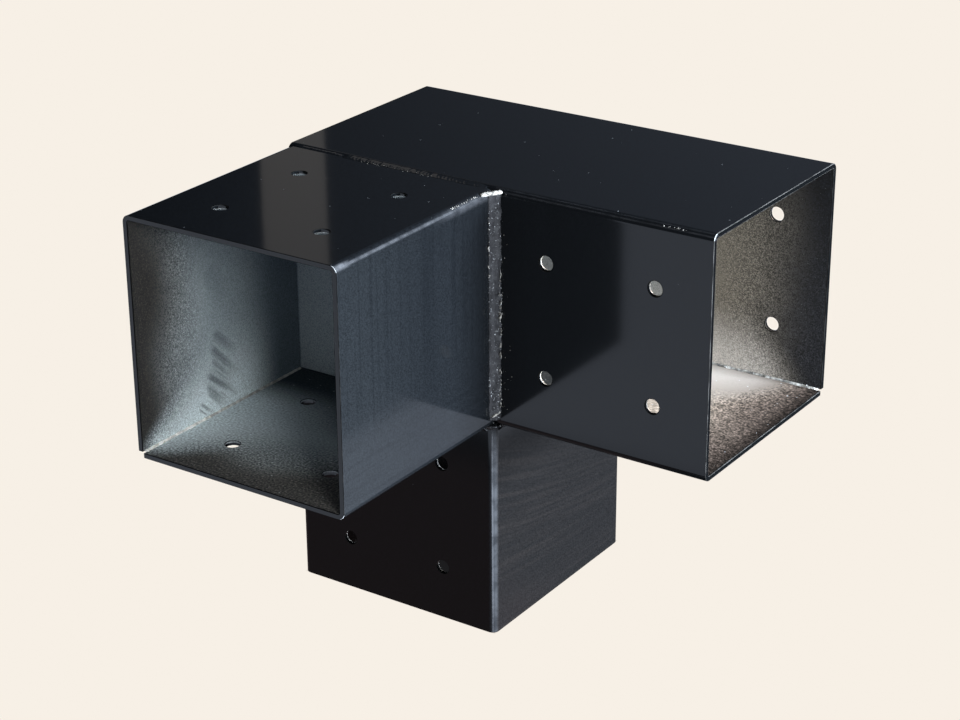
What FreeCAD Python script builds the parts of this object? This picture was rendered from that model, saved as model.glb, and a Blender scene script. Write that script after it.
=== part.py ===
"""Three-way post connector: three square sockets of folded steel sheet, welded at one corner.

Frame: the origin is the middle of the post socket's mouth. +Z is up, the beam socket opens towards +X,
the side socket towards -Y and the post socket towards -Z. Lengths are in millimetres.
"""

import FreeCAD, Part
import math
import os

import Sketcher

# Driving sizes: name, value in millimetres, meaning
SIZES = [
    ("socket_width", 96.0, "outer width of a square socket"),
    ("sheet_thickness", 2.0, "thickness of the folded sheet"),
    ("inner_bend", 1.0, "inside radius of a fold"),
    ("seam_gap", 0.4, "gap between the two edges of a sheet at its open corner"),
    ("beam_reach", 92.0, "how far the beam socket stands out from the corner"),
    ("side_reach", 95.0, "how far the side socket stands out from the corner"),
    ("post_reach", 92.0, "how far the post socket hangs below the corner"),
    ("side_drop", 0.5, "how far the side socket was welded below the top of the beam socket"),
    ("hole_diameter", 6.0, "screw hole"),
    ("hole_spacing", 46.0, "screw holes, centre to centre, both ways"),
    ("cap_thickness", 2.0, "plate in the outer end of the beam socket"),
    ("cap_clearance", 0.2, "gap between that plate and the walls round it"),
    ("cap_corner", 3.0, "radius of that plate's corners"),
    ("cap_bevel", 1.2, "weld preparation round that plate"),
    ("fillet_leg", 3.5, "leg of the fillet welds between the sockets"),
    ("fillet_crown", 0.4, "how far a fillet weld rises above the line between its two toes"),
    ("seam_leg", 1.5, "leg of the bead along the inside of a seam"),
    ("seam_crown", 0.2, "how far that bead rises above the line between its two toes"),
    ("bead_stop", 1.5, "how far an inside bead stops short of the mouth"),
    ("top_weld_start", 4.0, "unfilled end of the groove on top, at the outer corner"),
    ("inner_weld_top", 1.0, "how far the upright weld stops below the side socket's top"),
]

# Lengths that several pieces share, worked out from the driving sizes
HALF = "(Sizes.socket_width / 2)"
OUTER_BEND = "(Sizes.inner_bend + Sizes.sheet_thickness)"
FLAT = f"(Sizes.socket_width - 2 * {OUTER_BEND})"
SEAM_SETBACK = "(Sizes.sheet_thickness + Sizes.seam_gap)"
INNER_HALF = f"({HALF} - Sizes.sheet_thickness)"
SIDE_TOP = "(Sizes.post_reach + Sizes.socket_width - Sizes.side_drop)"

# Places on a sketch edge, and the sketch's own origin
START, END, CENTRE = range(1, 4)
ORIGIN = (-1, 1)

# Directions
UP, DOWN = FreeCAD.Vector(0, 0, 1), FreeCAD.Vector(0, 0, -1)
RIGHT = FreeCAD.Vector(1, 0, 0)
BACK, FRONT = FreeCAD.Vector(0, 1, 0), FreeCAD.Vector(0, -1, 0)

SQUARE_TOLERANCE = 1e-6


def make_sheet(doc):
    """The spreadsheet of driving sizes, one named cell each."""
    sheet = doc.addObject("Spreadsheet::Sheet", "Sizes")
    for row, (name, value, meaning) in enumerate(SIZES, start=1):
        sheet.set(f"A{row}", name)
        sheet.set(f"B{row}", str(value))
        sheet.set(f"C{row}", meaning)
        sheet.setAlias(f"B{row}", name)
    doc.recompute()
    return sheet


def add_sketch(body, name, role):
    """An empty sketch on one of a body's own origin planes."""
    sketch = body.newObject("Sketcher::SketchObject", name)
    plane = next(feature for feature in body.Origin.OriginFeatures if feature.Role == role)
    sketch.AttachmentSupport = [(plane, "")]
    sketch.MapMode = "FlatFace"
    return sketch


def line(start, end):
    return Part.LineSegment(FreeCAD.Vector(*start, 0), FreeCAD.Vector(*end, 0))


def arc(centre, radius, first_degrees, last_degrees):
    circle = Part.Circle(FreeCAD.Vector(*centre, 0), UP, radius)
    return Part.ArcOfCircle(circle, math.radians(first_degrees), math.radians(last_degrees))


def square_up(sketch):
    """Hold every line that was drawn level or upright so."""
    for index, edge in enumerate(sketch.Geometry):
        if not isinstance(edge, Part.LineSegment):
            continue
        run = edge.EndPoint - edge.StartPoint
        if abs(run.y) < SQUARE_TOLERANCE:
            sketch.addConstraint(Sketcher.Constraint("Horizontal", index))
        elif abs(run.x) < SQUARE_TOLERANCE:
            sketch.addConstraint(Sketcher.Constraint("Vertical", index))


def join(sketch, kind, *ends):
    sketch.addConstraint(Sketcher.Constraint(kind, *ends))


def drive(sketch, name, kind, places, formula):
    """Add a dimension, at the value drawn, and tie it to the driving sizes."""
    if kind in ("Radius", "Diameter"):
        radius = sketch.Geometry[places[0]].Radius
        value = radius if kind == "Radius" else 2 * radius
    else:
        run = sketch.getPoint(*places[2:]) - sketch.getPoint(*places[:2])
        value = run.x if kind == "DistanceX" else run.y
    index = sketch.addConstraint(Sketcher.Constraint(kind, *places, value))
    sketch.renameConstraint(index, name)
    sketch.setExpression(f"Constraints.{name}", formula)


def pad(body, sketch, length):
    feature = body.newObject("PartDesign::Pad", f"{body.Name}_pad")
    feature.Profile = sketch
    feature.setExpression("Length", length)
    return feature


def place(piece, x_axis, y_axis, z_axis, x, y, z):
    """Turn a piece so that its own axes lie along three directions, and put its origin at a point."""
    piece.Placement = FreeCAD.Placement(FreeCAD.Vector(), FreeCAD.Rotation(x_axis, y_axis, z_axis, "ZXY"))
    for axis, formula in zip("xyz", (x, y, z)):
        piece.setExpression(f"Placement.Base.{axis}", formula)


def draw_folded_sheet(sketch, size):
    """Section of a sheet folded three times into a square, open at the corner on +x, -y."""
    half = size["socket_width"] / 2
    thick = size["sheet_thickness"]
    inner = size["inner_bend"]
    outer = inner + thick
    bend = half - outer
    face = half - thick
    stop = face - size["seam_gap"]

    edges = [
        line((half, -stop), (half, bend)),
        arc((bend, bend), outer, 0, 90),
        line((bend, half), (-bend, half)),
        arc((-bend, bend), outer, 90, 180),
        line((-half, bend), (-half, -bend)),
        arc((-bend, -bend), outer, 180, 270),
        line((-bend, -half), (stop, -half)),
        line((stop, -half), (stop, -face)),
        line((stop, -face), (-bend, -face)),
        arc((-bend, -bend), inner, 180, 270),
        line((-face, -bend), (-face, bend)),
        arc((-bend, bend), inner, 90, 180),
        line((-bend, face), (bend, face)),
        arc((bend, bend), inner, 0, 90),
        line((face, bend), (face, -stop)),
        line((face, -stop), (half, -stop)),
    ]
    sketch.addGeometry(edges, False)

    first_wall, last_wall, last_edge, first_edge = 0, 6, 7, 15
    outer_bends, inner_bends = (1, 3, 5), (9, 11, 13)
    for index in outer_bends:
        join(sketch, "Tangent", index - 1, END, index, START)
        join(sketch, "Tangent", index, END, index + 1, START)
    for index in inner_bends:
        join(sketch, "Tangent", index - 1, END, index, END)
        join(sketch, "Tangent", index, START, index + 1, START)
    for index in (last_wall, last_edge, first_edge - 1, first_edge):
        join(sketch, "Coincident", index, END, (index + 1) % len(edges), START)
    for outside, inside in zip(outer_bends, reversed(inner_bends)):
        join(sketch, "Coincident", outside, CENTRE, inside, CENTRE)
    square_up(sketch)
    top_right, bottom_left = outer_bends[0], outer_bends[-1]
    for index in outer_bends[1:]:
        join(sketch, "Equal", top_right, index)
    join(sketch, "Symmetric", bottom_left, CENTRE, top_right, CENTRE, *ORIGIN)

    corner_to_corner = (bottom_left, CENTRE, top_right, CENTRE)
    across_seam = (last_wall, END, first_wall, START)
    drive(sketch, "bend_spread_across", "DistanceX", corner_to_corner, FLAT)
    drive(sketch, "bend_spread_up", "DistanceY", corner_to_corner, FLAT)
    drive(sketch, "outer_radius", "Radius", (top_right,), OUTER_BEND)
    drive(sketch, "inner_radius", "Radius", (inner_bends[0],), "Sizes.inner_bend")
    drive(sketch, "seam_across", "DistanceX", across_seam, SEAM_SETBACK)
    drive(sketch, "seam_up", "DistanceY", across_seam, SEAM_SETBACK)


def draw_screw_holes(sketch, size, first_row):
    """Four circles at the corners of a square. The nearer row lies first_row from the socket's root."""
    half_spacing = size["hole_spacing"] / 2
    row_height = size["socket_width"] / 2
    for across, along in ((-1, 0), (1, 0), (1, 1), (-1, 1)):
        centre = FreeCAD.Vector(across * half_spacing, row_height + along * size["hole_spacing"], 0)
        sketch.addGeometry(Part.Circle(centre, UP, size["hole_diameter"] / 2), False)
    near_left, near_right, far_right, far_left = range(4)
    for index in (near_right, far_right, far_left):
        join(sketch, "Equal", near_left, index)
    join(sketch, "Horizontal", near_left, CENTRE, near_right, CENTRE)
    join(sketch, "Horizontal", far_left, CENTRE, far_right, CENTRE)
    join(sketch, "Vertical", near_left, CENTRE, far_left, CENTRE)
    join(sketch, "Vertical", near_right, CENTRE, far_right, CENTRE)
    spacing = "Sizes.hole_spacing"
    drive(sketch, "diameter", "Diameter", (near_left,), "Sizes.hole_diameter")
    drive(sketch, "spacing_across", "DistanceX", (near_left, CENTRE, near_right, CENTRE), spacing)
    drive(sketch, "spacing_along", "DistanceY", (near_left, CENTRE, far_left, CENTRE), spacing)
    drive(sketch, "from_axis", "DistanceX", (*ORIGIN, near_right, CENTRE), f"{spacing} / 2")
    drive(sketch, "from_root", "DistanceY", (*ORIGIN, near_left, CENTRE), first_row)


def make_socket(doc, name, size, length, reach):
    """One folded socket, drilled through two opposite walls. Its own +z points to its mouth."""
    body = doc.addObject("PartDesign::Body", name)
    section = add_sketch(body, f"{name}_section", "XY_Plane")
    draw_folded_sheet(section, size)
    walls = pad(body, section, length)
    holes = add_sketch(body, f"{name}_hole_centres", "YZ_Plane")
    draw_screw_holes(holes, size, f"{length} - ({reach} + Sizes.hole_spacing) / 2")
    drill = body.newObject("PartDesign::Pocket", f"{name}_holes")
    drill.Profile = holes
    drill.Type = "ThroughAll"
    drill.SideType = "Symmetric"
    doc.recompute()

    # Each circle goes through two opposite walls
    one_circle = math.pi * size["hole_diameter"] ** 2 / 4 * 2 * size["sheet_thickness"]
    removed = walls.Shape.Volume - drill.Shape.Volume
    if not math.isclose(removed, len(holes.Geometry) * one_circle, rel_tol=1e-4):
        raise RuntimeError(f"{name}: the screw holes removed {removed:.2f} cubic millimetres")
    return body


def make_bead(doc, name, size, kind, length, root_gap=None):
    """A weld bead in a corner, of the fillet or seam kind. Its x and y lie along the faces it joins.

    root_gap clips the bead's corner, where the two sheets stop short of it.
    """
    body = doc.addObject("PartDesign::Body", name)
    sketch = add_sketch(body, f"{name}_section", "XY_Plane")
    reach = size[f"{kind}_leg"]
    crown = size[f"{kind}_crown"]
    radius = (reach**2 / 2 + crown**2) / (2 * crown)
    half_turn = math.degrees(math.asin(reach / (math.sqrt(2) * radius)))
    offset = reach / 2 - math.sqrt(radius**2 - reach**2 / 2) / math.sqrt(2)
    gap = size[root_gap] if root_gap else 0.0

    face_along_x, crown_arc, face_along_y, root = 0, 1, 2, 3
    edges = [
        line((gap, 0), (reach, 0)),
        arc((offset, offset), radius, 45 - half_turn, 45 + half_turn),
        line((0, reach), (0, gap)),
    ]
    if root_gap:
        edges.append(line((0, gap), (gap, 0)))
    sketch.addGeometry(edges, False)
    for index in range(len(edges)):
        join(sketch, "Coincident", index, END, (index + 1) % len(edges), START)
    square_up(sketch)
    join(sketch, "PointOnObject", face_along_x, START, ORIGIN[0])
    join(sketch, "Equal", face_along_x, face_along_y)
    leg, rise = f"Sizes.{kind}_leg", f"Sizes.{kind}_crown"
    drive(sketch, "toe", "DistanceX", (*ORIGIN, face_along_x, END), leg)
    drive(sketch, "crown_radius", "Radius", (crown_arc,), f"({leg}^2 / 2 + {rise}^2) / (2 * {rise})")
    if root_gap:
        drive(sketch, "root_along_x", "DistanceX", (*ORIGIN, root, END), f"Sizes.{root_gap}")
        drive(sketch, "root_along_y", "DistanceY", (*ORIGIN, root, START), f"Sizes.{root_gap}")
    pad(body, sketch, length)
    return body


def make_top_seam_weld(doc, size):
    """Weld in the groove between the side socket's top edge and the beam socket's rounded fold."""
    body = doc.addObject("PartDesign::Body", "top_seam_weld")
    sketch = add_sketch(body, "top_seam_section", "XY_Plane")
    outer = size["inner_bend"] + size["sheet_thickness"]
    drop = size["side_drop"]
    depth = min(drop + size["sheet_thickness"], 0.9 * outer)
    depth_formula = f"min(Sizes.side_drop + Sizes.sheet_thickness; 0.9 * {OUTER_BEND})"
    root_x = outer - math.sqrt(outer**2 - (outer - depth) ** 2)
    root_angle = 180 - math.degrees(math.asin((outer - depth) / outer))
    # The cover leaves the side socket's top edge and meets the fold without a kink
    cover_length = outer - drop
    lean = 2 * math.atan2(outer, cover_length)
    toe_x = cover_length * math.sin(lean)
    toe_y = -drop - cover_length * math.cos(lean)
    toe_angle = math.degrees(math.atan2(toe_y + outer, toe_x - outer))

    sheet_end, root, fold, cover = range(4)
    edges = [
        line((0, -drop), (0, -depth)),
        line((0, -depth), (root_x, -depth)),
        arc((outer, -outer), outer, toe_angle, root_angle),
        line((toe_x, toe_y), (0, -drop)),
    ]
    sketch.addGeometry(edges, False)
    join(sketch, "Coincident", sheet_end, END, root, START)
    join(sketch, "Coincident", root, END, fold, END)
    join(sketch, "Tangent", fold, START, cover, START)
    join(sketch, "Coincident", cover, END, sheet_end, START)
    join(sketch, "Vertical", sheet_end)
    join(sketch, "Horizontal", root)
    join(sketch, "PointOnObject", sheet_end, START, -2)
    drive(sketch, "fold_radius", "Radius", (fold,), OUTER_BEND)
    drive(sketch, "fold_across", "DistanceX", (*ORIGIN, fold, CENTRE), OUTER_BEND)
    drive(sketch, "fold_down", "DistanceY", (fold, CENTRE, *ORIGIN), OUTER_BEND)
    drive(sketch, "drop", "DistanceY", (sheet_end, START, *ORIGIN), "Sizes.side_drop")
    drive(sketch, "depth", "DistanceY", (sheet_end, END, *ORIGIN), depth_formula)
    pad(body, sketch, f"Sizes.socket_width - {OUTER_BEND} - Sizes.top_weld_start")
    place(
        body, BACK, UP, RIGHT,
        f"Sizes.top_weld_start - {HALF}", f"-{HALF}", "Sizes.post_reach + Sizes.socket_width",
    )
    return body


def make_post_back_weld(doc, size):
    """Weld that fills the beam socket's open corner where the post socket's back wall meets it."""
    body = doc.addObject("PartDesign::Body", "post_back_weld")
    sketch = add_sketch(body, "post_back_section", "XY_Plane")
    thick = size["sheet_thickness"]
    gap = size["seam_gap"]
    whole = thick + gap
    corners = [(0, 0), (whole, 0), (whole, whole), (gap, whole), (0, thick)]
    edges = [line(corner, corners[(index + 1) % len(corners)]) for index, corner in enumerate(corners)]
    sketch.addGeometry(edges, False)
    for index in range(len(edges)):
        join(sketch, "Coincident", index, END, (index + 1) % len(edges), START)
    square_up(sketch)
    on_post, back_face, under_wall, across_gap = range(4)
    join(sketch, "Coincident", on_post, START, *ORIGIN)
    drive(sketch, "across", "DistanceX", (*ORIGIN, on_post, END), SEAM_SETBACK)
    drive(sketch, "up", "DistanceY", (back_face, START, back_face, END), SEAM_SETBACK)
    drive(sketch, "gap_across", "DistanceX", (*ORIGIN, under_wall, END), "Sizes.seam_gap")
    drive(sketch, "sheet_up", "DistanceY", (*ORIGIN, across_gap, END), "Sizes.sheet_thickness")
    pad(body, sketch, FLAT)
    place(body, BACK, UP, RIGHT, f"-{FLAT} / 2", f"{HALF} - {SEAM_SETBACK}", "Sizes.post_reach")
    return body


def draw_rounded_square(sketch, side, radius, side_formula, radius_formula):
    """A square with rounded corners about the sketch's origin."""
    half = side / 2
    bend = half - radius
    edges = []
    for quarter in range(4):
        turn = FreeCAD.Rotation(UP, 90 * quarter)
        ends = [turn.multVec(FreeCAD.Vector(half, y, 0)) for y in (-bend, bend)]
        centre = turn.multVec(FreeCAD.Vector(bend, bend, 0))
        edges.append(Part.LineSegment(*ends))
        edges.append(arc((centre.x, centre.y), radius, 90 * quarter, 90 * quarter + 90))
    sketch.addGeometry(edges, False)
    for index in range(1, len(edges), 2):
        join(sketch, "Tangent", index - 1, END, index, START)
        join(sketch, "Tangent", index, END, (index + 1) % len(edges), START)
    square_up(sketch)
    top_right, bottom_left = 1, 5
    for index in (3, 5, 7):
        join(sketch, "Equal", top_right, index)
    join(sketch, "Symmetric", bottom_left, CENTRE, top_right, CENTRE, *ORIGIN)
    spread = (bottom_left, CENTRE, top_right, CENTRE)
    drive(sketch, "radius", "Radius", (top_right,), radius_formula)
    drive(sketch, "spread_across", "DistanceX", spread, f"{side_formula} - 2 * {radius_formula}")
    drive(sketch, "spread_up", "DistanceY", spread, f"{side_formula} - 2 * {radius_formula}")


def place_at_beam_end(body):
    """Put a plate in the outer end of the beam socket, its outside flush with the end."""
    place(body, BACK, UP, RIGHT, f"-{HALF}", "0", f"Sizes.post_reach + {HALF}")


def make_end_cap(doc, size):
    """Plate in the beam socket's outer end, bevelled all round on the outside for its weld."""
    body = doc.addObject("PartDesign::Body", "end_cap")
    sketch = add_sketch(body, "end_cap_outline", "XY_Plane")
    side = size["socket_width"] - 2 * (size["sheet_thickness"] + size["cap_clearance"])
    side_formula = f"(2 * ({INNER_HALF} - Sizes.cap_clearance))"
    draw_rounded_square(sketch, side, size["cap_corner"], side_formula, "Sizes.cap_corner")
    plate = pad(body, sketch, "Sizes.cap_thickness")
    doc.recompute()
    rim = [
        f"Edge{number}"
        for number, edge in enumerate(plate.Shape.Edges, start=1)
        if edge.BoundBox.ZMax < SQUARE_TOLERANCE
    ]
    bevel = body.newObject("PartDesign::Chamfer", "end_cap_bevel")
    bevel.Base = (plate, rim)
    bevel.setExpression("Size", "Sizes.cap_bevel")
    place_at_beam_end(body)
    return body


def make_end_cap_weld(doc, size, end_cap):
    """Weld that fills the bevel round the end cap, ground flush with the end of the beam socket."""
    blank = doc.addObject("PartDesign::Body", "end_cap_weld_blank")
    sketch = add_sketch(blank, "end_cap_weld_outline", "XY_Plane")
    side = size["socket_width"] - 2 * size["sheet_thickness"]
    draw_rounded_square(sketch, side, size["inner_bend"], f"(2 * {INNER_HALF})", "Sizes.inner_bend")
    pad(blank, sketch, "Sizes.cap_bevel")
    place_at_beam_end(blank)
    weld = doc.addObject("Part::Cut", "end_cap_weld")
    weld.Base = blank
    weld.Tool = end_cap
    return weld


def make_sockets(doc, size):
    """The three folded sockets. Each opens along its own +z and has its seam at its own +x, -y."""
    middle = f"Sizes.post_reach + {HALF}"
    beam_length = "(Sizes.socket_width + Sizes.beam_reach)"
    beam = make_socket(doc, "beam_socket", size, beam_length, "Sizes.beam_reach")
    place(beam, BACK, UP, RIGHT, f"-{HALF}", "0", middle)
    side = make_socket(doc, "side_socket", size, "Sizes.side_reach", "Sizes.side_reach")
    place(side, DOWN, RIGHT, FRONT, "0", f"-{HALF}", f"{middle} - Sizes.side_drop")
    post = make_socket(doc, "post_socket", size, "Sizes.post_reach", "Sizes.post_reach")
    place(post, BACK, RIGHT, DOWN, "0", "0", "Sizes.post_reach")
    return [beam, side, post]


def make_seam_welds(doc, size):
    """The bead along the inside of each socket's open corner."""
    beam_length = "Sizes.socket_width + Sizes.beam_reach - Sizes.cap_thickness - Sizes.bead_stop"
    floor = "Sizes.post_reach + Sizes.sheet_thickness"
    beam = make_bead(doc, "beam_seam_weld", size, "seam", beam_length, "seam_gap")
    place(beam, UP, FRONT, RIGHT, f"Sizes.cap_thickness - {HALF}", INNER_HALF, floor)
    side_length = "Sizes.side_reach - Sizes.bead_stop"
    side = make_bead(doc, "side_seam_weld", size, "seam", side_length, "seam_gap")
    place(side, RIGHT, UP, FRONT, f"-{INNER_HALF}", f"-{HALF}", f"{floor} - Sizes.side_drop")
    post_length = "Sizes.post_reach - Sizes.bead_stop"
    post = make_bead(doc, "post_seam_weld", size, "seam", post_length, "seam_gap")
    place(post, RIGHT, FRONT, DOWN, f"-{INNER_HALF}", INNER_HALF, "Sizes.post_reach")
    return [beam, side, post]


def make_fillet_welds(doc, size):
    """The fillet beads in the corners between the sockets."""
    upright_foot = f"(Sizes.post_reach + {OUTER_BEND})"
    upright_length = f"{SIDE_TOP} - Sizes.inner_weld_top - {upright_foot}"
    upright = make_bead(doc, "inner_corner_weld", size, "fillet", upright_length)
    place(upright, FRONT, RIGHT, UP, HALF, f"-{HALF}", upright_foot)
    under = make_bead(doc, "under_seam_weld", size, "fillet", FLAT)
    place(under, FRONT, DOWN, RIGHT, f"-{FLAT} / 2", f"-{HALF}", "Sizes.post_reach - Sizes.side_drop")
    post = make_bead(doc, "post_side_weld", size, "fillet", FLAT)
    place(post, RIGHT, DOWN, BACK, HALF, f"-{FLAT} / 2", "Sizes.post_reach")
    return [upright, under, post]


def check(doc, pieces):
    """Stop unless every object was built and every piece is one sound solid."""
    for item in doc.Objects:
        if "Invalid" in item.State or "Error" in item.State:
            raise RuntimeError(f"{item.Name} failed: {item.State}")
    for piece in pieces:
        shape = piece.Shape
        if shape.isNull() or not shape.isValid() or len(shape.Solids) != 1:
            raise RuntimeError(f"{piece.Label} isn't one sound solid")


def main():
    doc = FreeCAD.newDocument("three_way_post_connector")
    make_sheet(doc)
    size = {name: value for name, value, meaning in SIZES}
    pieces = make_sockets(doc, size)
    end_cap = make_end_cap(doc, size)
    pieces += [end_cap, make_end_cap_weld(doc, size, end_cap)]
    pieces += make_fillet_welds(doc, size)
    pieces += [make_top_seam_weld(doc, size), make_post_back_weld(doc, size)]
    pieces += make_seam_welds(doc, size)
    doc.recompute()
    check(doc, pieces)
    os.makedirs("parts", exist_ok=True)
    for piece in pieces:
        piece.Shape.exportStep(f"parts/{piece.Label}.step")
        print(f"{piece.Label}: {piece.Shape.Volume:.1f} cubic millimetres")


main()
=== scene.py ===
# %% [markdown]
# # Three-way post connector
# Three square sockets of folded 2 mm steel sheet are welded together at one corner: a long one for a
# beam, a short one beside it and one below it for the post. The sheet is painted gloss black outside,
# and only a mist of that paint got inside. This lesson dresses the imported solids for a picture. The
# solids give every size, so the first step is to load them and to keep their box.

# %% Load the solids
import math

import bmesh
import bpy
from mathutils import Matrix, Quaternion, Vector


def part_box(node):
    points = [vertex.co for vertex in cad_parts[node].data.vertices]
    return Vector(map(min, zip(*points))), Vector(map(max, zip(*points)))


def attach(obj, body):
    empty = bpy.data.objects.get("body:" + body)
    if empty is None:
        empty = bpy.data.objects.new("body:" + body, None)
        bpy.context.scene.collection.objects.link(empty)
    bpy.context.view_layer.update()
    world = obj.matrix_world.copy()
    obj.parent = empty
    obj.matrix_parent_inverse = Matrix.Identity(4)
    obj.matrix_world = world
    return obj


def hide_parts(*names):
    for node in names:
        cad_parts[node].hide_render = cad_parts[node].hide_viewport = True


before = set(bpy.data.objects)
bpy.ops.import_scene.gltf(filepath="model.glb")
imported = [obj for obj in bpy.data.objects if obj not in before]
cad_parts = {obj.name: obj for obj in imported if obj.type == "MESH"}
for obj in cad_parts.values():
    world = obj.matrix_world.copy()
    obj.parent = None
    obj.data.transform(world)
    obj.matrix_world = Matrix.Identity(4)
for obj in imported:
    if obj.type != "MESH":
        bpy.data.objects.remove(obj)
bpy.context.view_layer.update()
for plain in bpy.data.materials:
    plain.name = "solid_" + plain.name
print("solids:", ", ".join(sorted(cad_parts)))

MM = 0.001

beam_low, beam_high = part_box("beam_socket")
side_low, side_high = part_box("side_socket")
post_low, post_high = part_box("post_socket")

# %% [markdown]
# ## Camera
# A photographer would put a long lens a metre away and look down at the inner corner. The camera could
# be aimed with a Track To constraint, but a constraint is one more thing to go wrong, so the turn is
# worked out here from the place of the lens, the point it looks at and a very small roll.


# %% Camera
def add_object(name, data):
    """A new object in the scene for a mesh, a lamp or a camera."""
    made = bpy.data.objects.new(name, data)
    bpy.context.scene.collection.objects.link(made)
    return made


LENS_PLACE = Vector((490.0, -709.6, 462.3)) * MM
AIM_POINT = Vector((41.64, -48.0, 117.73)) * MM
ROLL_DEGREES = -0.343
FOCAL_LENGTH = 85.82
SENSOR_WIDTH = 36.0

lens = bpy.data.cameras.new("camera")
lens.lens = FOCAL_LENGTH
lens.sensor_width = SENSOR_WIDTH
camera = add_object("camera", lens)
camera.location = LENS_PLACE
camera.rotation_mode = "QUATERNION"
aim = (AIM_POINT - LENS_PLACE).to_track_quat("-Z", "Y")
camera.rotation_quaternion = aim @ Quaternion((0, 0, 1), math.radians(ROLL_DEGREES))
bpy.context.scene.camera = camera
bpy.context.scene.view_settings.view_transform = "Standard"
print("camera stands", round((AIM_POINT - LENS_PLACE).length, 3), "m from the inner corner")

# %% [markdown]
# ## Node helpers
# Every finish and every weld below is a small tree of nodes. Laid node by node, the idea of a tree gets
# lost, so a `Wire` stands for the output of a node here. Adding, scaling or comparing wires lays a Math
# node, and a tree reads like a formula. The Math, Mix and noise nodes work in shader trees and in Geometry
# Nodes alike, so one set of helpers is enough for both.

# %% Wires
class Wire:
    """The output of a node. A sum with wires lays a Math node, or a Vector Math node for vectors."""

    def __init__(self, socket):
        self.socket = socket
        self.tree = socket.id_data
        self.is_vector = socket.type in ("VECTOR", "RGBA")

    def join(self, operation, other):
        return (vector_calc if self.is_vector else calc)(operation, self, other)

    def __add__(self, other):
        return self.join("ADD", other)

    def __sub__(self, other):
        return self.join("SUBTRACT", other)

    def __rsub__(self, other):
        return calc("SUBTRACT", other, self)

    def __mul__(self, other):
        is_number = not other.is_vector if isinstance(other, Wire) else isinstance(other, (int, float))
        if self.is_vector and is_number:
            return vector_calc("SCALE", self, scale=other)
        return self.join("MULTIPLY", other)

    def __truediv__(self, other):
        return calc("DIVIDE", self, other)

    def __rtruediv__(self, other):
        return calc("DIVIDE", other, self)

    def __gt__(self, other):
        return calc("GREATER_THAN", self, other)

    def __lt__(self, other):
        return calc("LESS_THAN", self, other)


class Outlets:
    """The outputs of a node, each given as a wire by its name or its number."""

    def __init__(self, made):
        self.made = made

    def __getitem__(self, key):
        return Wire(self.made.outputs[key])


print("a wire carries a number, a vector, a colour or a shape")


# %% Node helpers
def fill(socket, value):
    """Link a socket to a wire, or set its own value. A colour gets its alpha here."""
    if isinstance(value, Wire):
        value.tree.links.new(value.socket, socket)
    elif socket.type == "RGBA":
        socket.default_value = (*value, 1.0)
    else:
        socket.default_value = value


def fill_all(made, inputs):
    """Fill several inputs of a node, by name or by number."""
    for key, value in inputs.items():
        fill(made.inputs[key], value)


def node(tree, kind, inputs=None, **settings):
    """A new node with its options set and its inputs filled. Gives its outputs."""
    made = tree.nodes.new(kind)
    for name, value in settings.items():
        setattr(made, name, value)
    fill_all(made, inputs or {})
    return Outlets(made)


def tree_of(values):
    """The tree that the wires among some values belong to."""
    return next(value.tree for value in values if isinstance(value, Wire))


def calc(operation, *values, clamp=False):
    """The result of one Math node."""
    inputs = dict(enumerate(values))
    return node(tree_of(values), "ShaderNodeMath", inputs, operation=operation, use_clamp=clamp)[0]


def vector_calc(operation, *values, scale=None):
    """The result of one Vector Math node."""
    inputs = dict(enumerate(values))
    if scale is not None:
        inputs["Scale"] = scale
    made = node(tree_of([*values, scale]), "ShaderNodeVectorMath", inputs, operation=operation)
    is_number = operation in ("DOT_PRODUCT", "LENGTH", "DISTANCE")
    return made["Value" if is_number else "Vector"]


print("helpers for numbers and vectors are ready")


# %% Ramps, mixes and noise
def ramp(value, low, high, bottom=0.0, top=1.0, smooth=True):
    """A value carried from one range to another, held at both ends."""
    kind = "SMOOTHSTEP" if smooth else "LINEAR"
    inputs = {"Value": value, "From Min": low, "From Max": high, "To Min": bottom, "To Max": top}
    return node(value.tree, "ShaderNodeMapRange", inputs, interpolation_type=kind)["Result"]


def mix(share, first, second):
    """A number or a colour part of the way from the first to the second."""
    ends = (first, second)
    if any(isinstance(end, tuple) or isinstance(end, Wire) and end.is_vector for end in ends):
        return node(share.tree, "ShaderNodeMix", {0: share, 6: first, 7: second}, data_type="RGBA")[2]
    return node(share.tree, "ShaderNodeMix", {0: share, 2: first, 3: second}, data_type="FLOAT")[0]


def xyz(vector):
    """The three numbers of a vector."""
    numbers = node(vector.tree, "ShaderNodeSeparateXYZ", {"Vector": vector})
    return numbers["X"], numbers["Y"], numbers["Z"]


def from_xyz(**numbers):
    """A vector from the numbers X, Y and Z, as far as they are given."""
    return node(tree_of(numbers.values()), "ShaderNodeCombineXYZ", numbers)["Vector"]


def noise(place, scale, detail=2.0):
    """Cloudy noise between 0 and 1. Scale is in cells a metre."""
    inputs = {"Vector": place, "Scale": scale, "Detail": detail}
    return node(place.tree, "ShaderNodeTexNoise", inputs)["Fac"]


def streaks(place, stretch, detail=2.0):
    """Noise drawn out by a different number of cells a metre along x, y and z."""
    return noise(place * stretch, 1.0, detail)


print("helpers for ramps, colours and noise are ready")


# %% Groups and materials
def new_group(name, kind, inputs, outputs):
    """A tree with named sockets, listed by kind. Gives it, its inputs as wires and its outputs to fill."""
    tree = bpy.data.node_groups.new(name, kind)
    for direction, sockets in (("INPUT", inputs), ("OUTPUT", outputs)):
        for socket_kind, socket_names in sockets.items():
            for socket_name in socket_names.split(", "):
                tree.interface.new_socket(socket_name, in_out=direction, socket_type=socket_kind)
    print("new tree:", name)
    return tree, Outlets(tree.nodes.new("NodeGroupInput")), tree.nodes.new("NodeGroupOutput").inputs


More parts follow.
